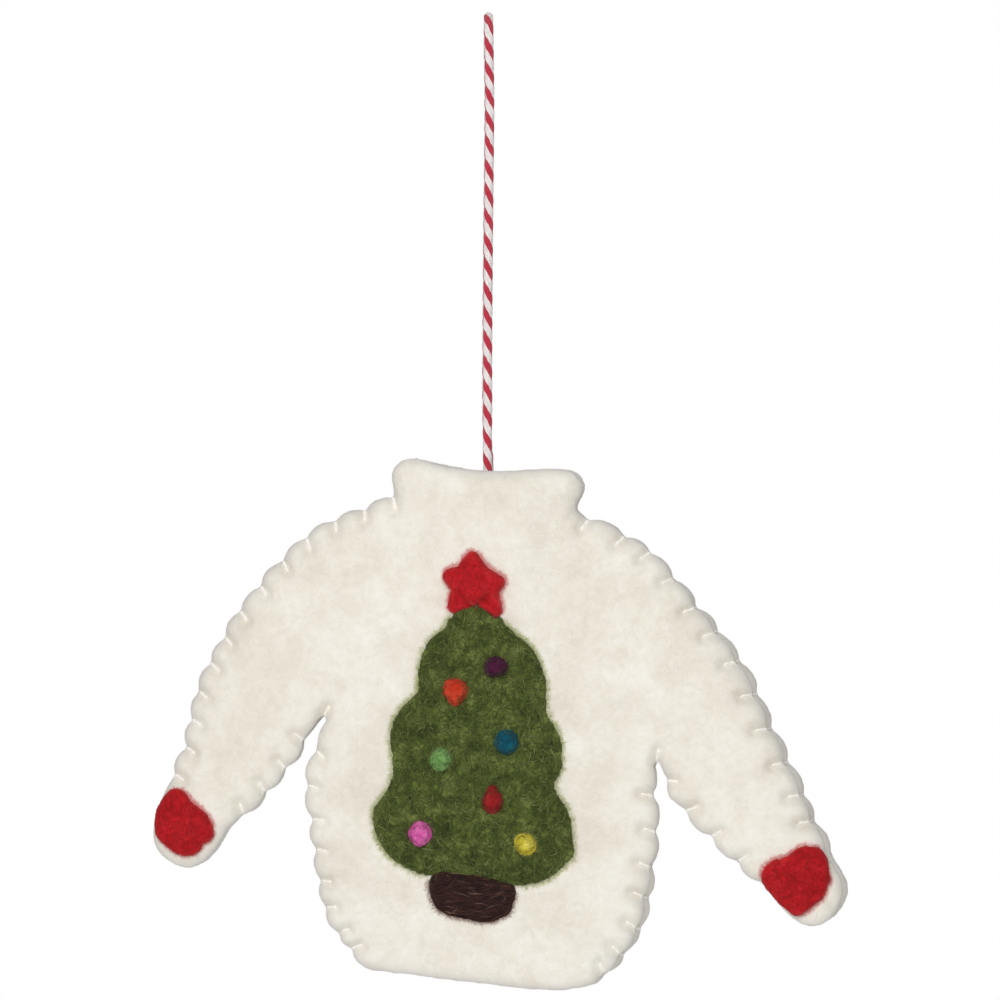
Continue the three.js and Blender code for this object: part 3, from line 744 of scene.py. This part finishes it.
def lay_fibres(name, starts, surface, count, length, width, lift, curl, tints, seed):
    """Curly fibres along a surface, each from one of the starts: a place, its normal and the
    way to go, or None. Each fibre has its own tint. The light ones lie on top."""
    chance = random.Random(seed)
    places, ups, shades = [], [], []
    for _ in range(count):
        place, up, heading = chance.choice(starts)
        if heading is None:
            heading = up.orthogonal().normalized()
            heading.rotate(Matrix.Rotation(chance.uniform(0, 2 * math.pi), 3, up))
        else:
            heading = heading.copy()
            heading.rotate(Matrix.Rotation(chance.gauss(0, fibre_spread * curl), 3, up))
        tint = chance.uniform(*tints)
        turn = chance.gauss(0, curl)
        step = length * chance.uniform(*fibre_lengths) / fibre_steps
        # Darker fibres lie lower, under the light ones: their dark tints are partly the wool's own
        # and partly painted shade.
        rise = lift * (dark_rise + (1 - dark_rise) * tint)
        for number in range(fibre_steps + 1):
            foot, up, _, _ = surface.find_nearest(place)
            place = foot + up * (rise * math.sin(math.pi * number / fibre_steps))
            places.append(place)
            ups.append(up)
            heading = (heading - up * heading.dot(up)).normalized()
            heading.rotate(Matrix.Rotation(turn + chance.gauss(0, curl / 2), 3, up))
            place = place + heading * step
        shades.append(tint)
    rings = fibre_steps + 1
    places = np.array(places).reshape(count, rings, 3)
    ups = np.array(ups).reshape(count, rings, 3)
    alongs = np.gradient(places, axis=1)
    alongs /= np.linalg.norm(alongs, axis=2, keepdims=True) + 1e-12
    sides = np.cross(alongs, ups)
    sides /= np.linalg.norm(sides, axis=2, keepdims=True) + 1e-12
    ups = np.cross(sides, alongs)
    swell = np.sin(np.pi * np.linspace(tip_start, 1 - tip_start, rings))[None, :, None]
    taper = tip_width + (1 - tip_width) * swell
    angles = [2 * math.pi * k / fibre_sides for k in range(fibre_sides)]
    corners = np.stack(
        [
            places + width / 2 * taper * (math.cos(angle) * ups + math.sin(angle) * sides)
            for angle in angles
        ],
        axis=2,
    )
    first = np.arange(count)[:, None] * rings * fibre_sides
    walls = []
    for foot in range(0, fibre_steps * fibre_sides, fibre_sides):
        for k in range(fibre_sides):
            low, high = foot + k, foot + (k + 1) % fibre_sides
            walls.append(np.array([low, high, high + fibre_sides, low + fibre_sides]))
    walls = (first[:, :, None] + np.array(walls)[None]).reshape(-1, 4)
    last = fibre_steps * fibre_sides
    tips = np.array([range(fibre_sides)[::-1], range(last, last + fibre_sides)])
    tips = (first[:, :, None] + tips[None]).reshape(-1, fibre_sides)
    mesh = bpy.data.meshes.new(name)
    mesh.from_pydata(corners.reshape(-1, 3).tolist(), [], walls.tolist() + tips.tolist())
    tint = mesh.attributes.new("tint", "FLOAT", "POINT")
    tint.data.foreach_set(
        "value", np.repeat(shades, rings * fibre_sides).astype(np.float32)
    )
    mesh.shade_smooth()
    fibres = bpy.data.objects.new(name, mesh)
    scene.collection.objects.link(fibres)
    return fibres


def fibre_material(name, shades, sheen):
    """Single fibres of wool, each of one tint between the shades. The last is a stray's."""
    material, tree, shader = new_material(name, fibre_roughness, sheen)
    tint = tree.nodes.new("ShaderNodeAttribute")
    tint.attribute_name = "tint"
    ramp = tree.nodes.new("ShaderNodeValToRGB")
    for position in fibre_tints[1:-1]:
        ramp.color_ramp.elements.new(position)
    for element, position, shade in zip(ramp.color_ramp.elements, fibre_tints, shades):
        element.position = position
        element.color = srgb(*shade)
    tree.links.new(tint.outputs["Fac"], ramp.inputs["Fac"])
    tree.links.new(ramp.outputs["Color"], shader.inputs["Base Color"])
    return material


def starts_on(piece, towards):
    """Places and normals all over a piece, but for those that face the other way."""
    return [
        (corner.co.copy(), corner.normal.copy(), None)
        for corner in piece.data.vertices
        if corner.normal.y * towards > fibre_facing
    ]


cream_fibre = fibre_material("cream_fibre", fuzz_shades, fuzz_sheen)
both_panels = surface_of(*panels)
for panel, facing, seed in zip(panels, (-1, 1), fuzz_seeds):
    fuzz = lay_fibres(
        panel.name.replace("felt", "fuzz"), starts_on(panel, facing), both_panels, fuzz_count,
        fuzz_length, fuzz_width, fuzz_lift, fuzz_curl, fuzz_tints, seed,
    )
    fuzz.data.materials.append(cream_fibre)
    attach(fuzz, "jersey")


# Sewing thread: each seam has one white two-ply cotton thread, whipped through both panels
# and over their rims. It comes out of each hole on the front, runs straight to the rim, over
# both rims and aslant across the back to the next hole.
thread_radius = 0.0003
thread_plies = 2
thread_groove = 0.25
thread_lay = 0.0019
thread_step = 0.00022
thread_sides = 10
thread_height = -0.00006
rim_height = -0.0001
thread_dip = 0.0006
thread_white = (250, 247, 241)
front_shares = (0.2, 0.6, 1)
back_shares = (0, 0.35, 0.7, 0.92)
rim_turn = 0.0009
rim_search = 0.003
rim_points = 7
ray_start = 0.02


def face_point(surface, plan, facing):
    """The thread's place over a point of the plan, on the front or the back face."""
    start = Vector((plan.x, facing * ray_start, plan.y))
    foot = surface.ray_cast(start, Vector((0, -facing, 0)))[0]
    return foot + Vector((0, facing * thread_height, 0))


def over_rims(surface, rim, into, near, far):
    """The thread's places round both rims, straight over the gap between them."""
    start = rim + into * rim_turn
    levels = np.linspace(near.y, far.y, rim_points + 2)[1:-1]
    reaches = []
    for level in levels:
        outward = Vector((-into.x, 0, -into.y))
        foot, facing, _, _ = surface.ray_cast(
            Vector((start.x, level, start.y)), outward, rim_search
        )
        leaves = foot is not None and facing.dot(outward) > 0
        reaches.append((foot.xz - start).length + rim_height if leaves else 0)
    taut = [
        max(
            reaches[i] + (reaches[j] - reaches[i]) * (k - i) / max(1, j - i)
            for i in range(k + 1) for j in range(k, rim_points)
        )
        for k in range(rim_points)
    ]
    return [
        Vector((start.x - into.x * reach, level, start.y - into.y * reach))
        for reach, level in zip(taut, levels)
    ]


def sewn_line(surface, seam):
    """A seam's thread, drawn tight on the panels. Its ends are hidden between them."""
    seam_stitches = stitches[seam]
    line = [Vector((seam_stitches[0][2].x, 0, seam_stitches[0][2].y))]
    for (_, rim, out), (_, _, following) in zip(
        seam_stitches, seam_stitches[1:] + seam_stitches[-1:]
    ):
        into = (out - rim).normalized()
        edge = rim + into * rim_turn
        dip = face_point(surface, out, -1) + Vector((0, thread_dip, 0))
        fronts = [face_point(surface, out.lerp(edge, share), -1) for share in front_shares]
        backs = [face_point(surface, edge.lerp(following, share), 1) for share in back_shares]
        sink = face_point(surface, following, 1) - Vector((0, thread_dip, 0))
        line += [dip, *fronts, *over_rims(surface, rim, into, fronts[-1], backs[0]), *backs, sink]
    line.append(Vector((following.x, 0, following.y)))
    return line


white_cotton = spun_cotton(
    "white_cotton", [thread_white], yarns=12, yarn_slant=0.4, depth=0.00001, shadow=0.05
)
for seam in seams:
    thread = spun_cord(
        seam.replace("thread", "stitching"),
        smooth_line(sewn_line(both_panels, seam), thread_step), thread_radius, thread_plies,
        thread_groove, thread_lay, thread_sides,
    )
    thread.data.materials.append(white_cotton)
    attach(thread, "jersey")
    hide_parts(seam)


# Needle-felted figures: tufts of dyed wool, punched into the front panel with a barbed
# needle. Each is a rounded pad with curly fibres all over it and a halo of loose, light ones
# round its edge. The baubles lie on the tree.
wool_fibre = 0.0005
wool_blotch = 0.003
wool_depth = 0.00015
wool_sheen = 0.05
pad_voxel = 0.00036
dot_voxel = 0.00024
pad_smoothing = 4
pad_push = 0.0004
tree_push = 0.00024
dot_push = 0.00006
pad_sink = 0.0005
pad_lump = 0.0022
pad_lump_depth = 0.00016
halo_width = 0.00003
halo_lift = 0.00005
halo_curl = 0.35
halo_tints = (0.97, 1)
halo_clear = 0.0011
rim_slope = 0.7
# Painted light: lighter colours on the steep walls of the red and green pads, where they would sit
# in shade. This partly stands for the pale loose fibres there.
rim_painted_light = {"red": ((226, 92, 90), 0.55), "green": ((128, 140, 84), 0.35)}
rim_facing = (-0.6, 0.3)
# Each wool's dark, middle and light shades, and the shade of its loose fibres. On a pad the dark
# one is painted shade between the fibres and the light one painted light on their tips.
shades_of = {
    "green": [(22, 34, 6), (76, 88, 34), (124, 136, 72), (206, 212, 150)],
    "red": [(156, 12, 18), (184, 20, 28), (198, 38, 44), (250, 178, 176)],
    "deep_red": [(104, 10, 12), (146, 20, 24), (170, 36, 38), (128, 44, 30)],
    "brown": [(18, 6, 3), (42, 18, 11), (78, 44, 34), (176, 142, 126)],
    "purple": [(36, 6, 26), (66, 14, 46), (92, 32, 68), (84, 44, 50)],
    "orange": [(160, 28, 12), (202, 56, 28), (216, 90, 54), (176, 66, 36)],
    "teal": [(0, 50, 66), (0, 84, 102), (0, 108, 120), (60, 122, 92)],
    "light_green": [(70, 114, 54), (112, 156, 84), (150, 186, 116), (172, 200, 132)],
    "pink": [(180, 54, 130), (214, 88, 164), (230, 134, 192), (160, 60, 112)],
    "yellow": [(166, 148, 30), (206, 192, 56), (228, 218, 112), (226, 222, 140)],
}
# Each figure's wool, the number, length and width of its fibres, the number and length of
# those in its halo, and what lies under and beside it.
big_tufts = [
    ("tree", "green", (7400, 0.0018, 0.00009), (4200, 0.0011), "front_felt tree_trunk star"),
    ("star", "red", (420, 0.0018, 0.00005), (2000, 0.00085), "front_felt tree"),
    ("tree_trunk", "brown", (900, 0.003, 0.00015), (900, 0.0011), "front_felt tree"),
    ("left_cuff_patch", "red", (600, 0.0018, 0.00005), (2200, 0.00085), "front_felt"),
    ("right_cuff_patch", "red", (760, 0.0018, 0.00005), (2400, 0.00085), "front_felt"),
]
bauble_colours = {
    "purple": "purple", "orange": "orange", "teal": "teal", "light_green": "light_green",
    "red_drop": "deep_red", "pink": "pink", "yellow": "yellow",
}
baubles = [
    (name + "_bauble", colour, (130, 0.0014, 0.00005), (260, 0.0007), "tree")
    for name, colour in bauble_colours.items()
]
wool_lift = 0.00014
wool_curl = 0.28
wool_tints = {"red": (0, 0.92), "green": (0, 0.95), "brown": (0, 0.95)}
plain_tints = (0, 0.9)
fibre_seed, halo_seed, wisp_seed, border_seed = 100, 200, 300, 400
wool_curls = {"tree_trunk": 0.12}
wool_headings = {"tree_trunk": Vector((1, 0, 0))}
# Where the wool is drawn out: the place across and up, how wide, and which way.
drawn_out = {
    "tree": [
        ((-0.003, -0.109), 0.0056, (0, 0, 0.0009)), ((-0.003, -0.1074), 0.0015, (0, 0, 0.001)),
        ((0.0018, -0.1103), 0.003, (0, 0, 0.0005)), ((0.0005, -0.1103), 0.0013, (0, 0, 0.001)),
        ((0.0026, -0.111), 0.0013, (0.0001, 0, 0.0003)),
        ((-0.0083, -0.1111), 0.0018, (0.0008, 0, -0.0006)),
        ((0.0063, -0.1124), 0.003, (-0.0002, 0, -0.0002)),
        ((-0.0136, -0.1232), 0.0018, (0.0011, 0, 0)), ((0.0111, -0.1221), 0.0025, (0.0004, 0, 0)),
        ((0.0131, -0.1406), 0.0018, (-0.0004, 0, 0)), ((0.0155, -0.1467), 0.0022, (0.0007, 0, 0)),
        ((0.0161, -0.1522), 0.0025, (0.0004, 0, 0)), ((-0.0203, -0.1449), 0.004, (-0.0003, 0, 0)),
        ((-0.012, -0.1564), 0.0025, (0, 0, -0.0005)),
    ],
    "star": [
        ((-0.0026, -0.1066), 0.0017, (0, -0.0003, -0.0008)),
        ((-0.0068, -0.1082), 0.0013, (-0.0002, 0, -0.0004)),
        ((0.0031, -0.1089), 0.0013, (0.0003, 0, -0.0003)),
    ],
    "tree_trunk": [
        ((-0.0034, -0.1574), 0.008, (0, 0.0009, 0.0014)),
        ((0.005, -0.1588), 0.0013, (0.0002, 0, 0.0007)),
        ((0.0041, -0.1635), 0.0015, (0.0005, 0, -0.0003)),
        ((-0.0075, -0.1635), 0.004, (-0.0002, 0, -0.0002)),
    ],
    "left_cuff_patch": [
        ((-0.0613, -0.1469), 0.005, (-0.0005, 0, 0)),
        ((-0.0522, -0.1512), 0.0011, (-0.0005, 0, 0.0003)),
        ((-0.0573, -0.1525), 0.002, (-0.0001, 0, -0.0003)),
    ],
    "right_cuff_patch": [
        ((0.0529, -0.154), 0.002, (-0.0002, 0, 0.0004)),
        ((0.0634, -0.159), 0.003, (0.0003, 0, -0.0001)),
    ],
    "yellow_bauble": [((0.0071, -0.1519), 0.01, (-0.0004, 0, 0.0003))],
    "teal_bauble": [((0.0033, -0.1326), 0.01, (-0.00025, 0, 0))],
    "red_drop_bauble": [((0.0002, -0.1433), 0.01, (0.00025, 0, 0.0001))],
}
bauble_wisps = (34, 0.0016, 0.00007)
wisp_away = 0.0004
border_reach = 0.0007
border_tints = (0.2, 0.93)
# Fibres of one figure that lie over the next: whose, over which, their wool and number.
borders = [
    ("tree", "tree_trunk", "green", 150), ("tree", "star", "green", 60),
    ("star", "tree", "red", 20), ("tree_trunk", "tree", "brown", 60),
]
wisp_lift = 0.00016
wisp_tints = (0.05, 0.7)
# Shares of each bauble's reach in eight directions, from +X upwards.
bauble_outlines = {
    "purple": (1.1, 0.95, 0.95, 0.96, 0.92, 1.14, 0.92, 1),
    "orange": (1, 1.06, 0.94, 1.1, 1, 0.9, 1.16, 0.94),
    "teal": (1.02, 0.98, 1.03, 0.97, 1, 0.98, 1.03, 0.99),
    "light_green": (1, 0.98, 1.1, 0.93, 1.04, 1.1, 1.02, 0.93),
    "red_drop": (1.13, 1.1, 1.12, 1.06, 1.13, 1.12, 1.1, 1.1),
    "pink": (1.02, 0.97, 1.03, 0.95, 1.01, 0.96, 1.07, 0.95),
    "yellow": (1.06, 0.95, 1, 1.03, 0.97, 0.94, 1, 1.1),
}


def drawn_wool(places, tufts):
    """A figure's places, with its wool drawn out to meet the next figure or an edge."""
    for place, width, way in tufts:
        away = np.linalg.norm(places[:, [0, 2]] - place, axis=1)
        places += np.exp(-((away / width) ** 2))[:, None] * way
    return places


def uneven(places, shares):
    """A round figure's places, with its outline made uneven by shares of its reach."""
    middle = (places.min(axis=0) + places.max(axis=0)) / 2
    angles = np.arctan2(places[:, 2] - middle[2], places[:, 0] - middle[0])
    sector = angles % (2 * math.pi) / (2 * math.pi) * len(shares)
    before = sector.astype(int) % len(shares)
    part = sector - sector.astype(int)
    ease = part**2 * (3 - 2 * part)
    shares = np.array(shares)
    reach = shares[before] * (1 - ease) + np.roll(shares, -1)[before] * ease
    places[:, [0, 2]] = middle[[0, 2]] + (places[:, [0, 2]] - middle[[0, 2]]) * reach[:, None]
    return places


def rim_starts(pad, neighbours):
    """Places round a pad's edge, each with the way straight out from it. None is near a
    neighbour."""
    rim = [
        (corner.co.copy(), Vector((0, -1, 0)), Vector((corner.normal.x, 0, corner.normal.z)))
        for corner in pad.data.vertices
        if rim_facing[0] < corner.normal.y < rim_facing[1]
    ]
    for neighbour in neighbours:
        surface = surface_of(neighbour)
        rim = [start for start in rim if surface.find_nearest(start[0])[3] > halo_clear]
    return rim


pads = {"front_felt": panels[0]}
wools = {}
for node, colour, _, _, beside in big_tufts + baubles:
    if colour not in wools:
        wools[colour] = (
            wool_material(
                colour + "_wool", shades_of[colour][:3], wool_fibre, wool_blotch, wool_depth,
                wool_sheen,
            ),
            fibre_material(colour + "_fibre", shades_of[colour], wool_sheen),
        )
        if colour in rim_painted_light:
            paint_edge_shading(wools[colour][0], *rim_painted_light[colour])
    voxel, push = (dot_voxel, dot_push) if beside == "tree" else (pad_voxel, pad_push)
    if node == "tree":
        push = tree_push
    pad = soft_piece(
        node + "_pad", merged_copy(node), voxel, pad_smoothing, [(pad_lump, pad_lump_depth)]
    )
    places, normals = corners_of(pad)
    places += normals * push
    places[:, 1] += pad_sink * np.clip(normals[:, 1], 0, 1)
    places = drawn_wool(places, drawn_out.get(node, []))
    if beside == "tree":
        places = uneven(places, bauble_outlines[node.replace("_bauble", "")])
    pad.data.vertices.foreach_set("co", places.astype(np.float32).ravel())
    pad.data.update()
    # How far each corner faces sideways: where the red and green pads get their painted light.
    mark_edge(pad, np.clip(1 + normals[:, 1] / rim_slope, 0, 1))
    pad.data.materials.append(wools[colour][0])
    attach(pad, "jersey")
    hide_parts(node)
    pads[node] = pad

for seed, (node, colour, main, (halo, length), beside) in enumerate(big_tufts + baubles):
    pad = pads[node]
    around = [pads[other] for other in beside.split()]
    starts = [(*start[:2], wool_headings.get(node)) for start in starts_on(pad, -1)]
    main_fibres = lay_fibres(
        node + "_fibres", starts, surface_of(pad), *main, wool_lift,
        wool_curls.get(node, wool_curl), wool_tints.get(colour, plain_tints),
        fibre_seed + seed,
    )
    halo_fibres = lay_fibres(
        node + "_halo", rim_starts(pad, around[1:]), surface_of(*around), halo, length,
        halo_width, halo_lift, halo_curl, halo_tints, halo_seed + seed,
    )
    laid = [(main_fibres, colour), (halo_fibres, colour)]
    if beside == "tree":
        loose = [
            (place + way.normalized() * wisp_away, up, -way)
            for place, up, way in rim_starts(pad, [])
        ]
        wisps = lay_fibres(
            node + "_wisps", loose, surface_of(pad, pads["tree"]), *bauble_wisps, wisp_lift,
            wool_curl, wisp_tints, wisp_seed + seed,
        )
        laid.append((wisps, "green"))
    for fibres, shade in laid:
        fibres.data.materials.append(wools[shade][1])
        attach(fibres, "jersey")

for seed, (node, other, colour, count) in enumerate(borders):
    across = surface_of(pads[other])
    near = [
        start for start in rim_starts(pads[node], [])
        if across.find_nearest(start[0])[3] < border_reach
    ]
    strays = lay_fibres(
        f"{node}_over_{other}", near, surface_of(pads[node], pads[other]), count,
        *bauble_wisps[1:], wisp_lift, wool_curl, border_tints, border_seed + seed,
    )
    strays.data.materials.append(wools[colour][1])
    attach(strays, "jersey")
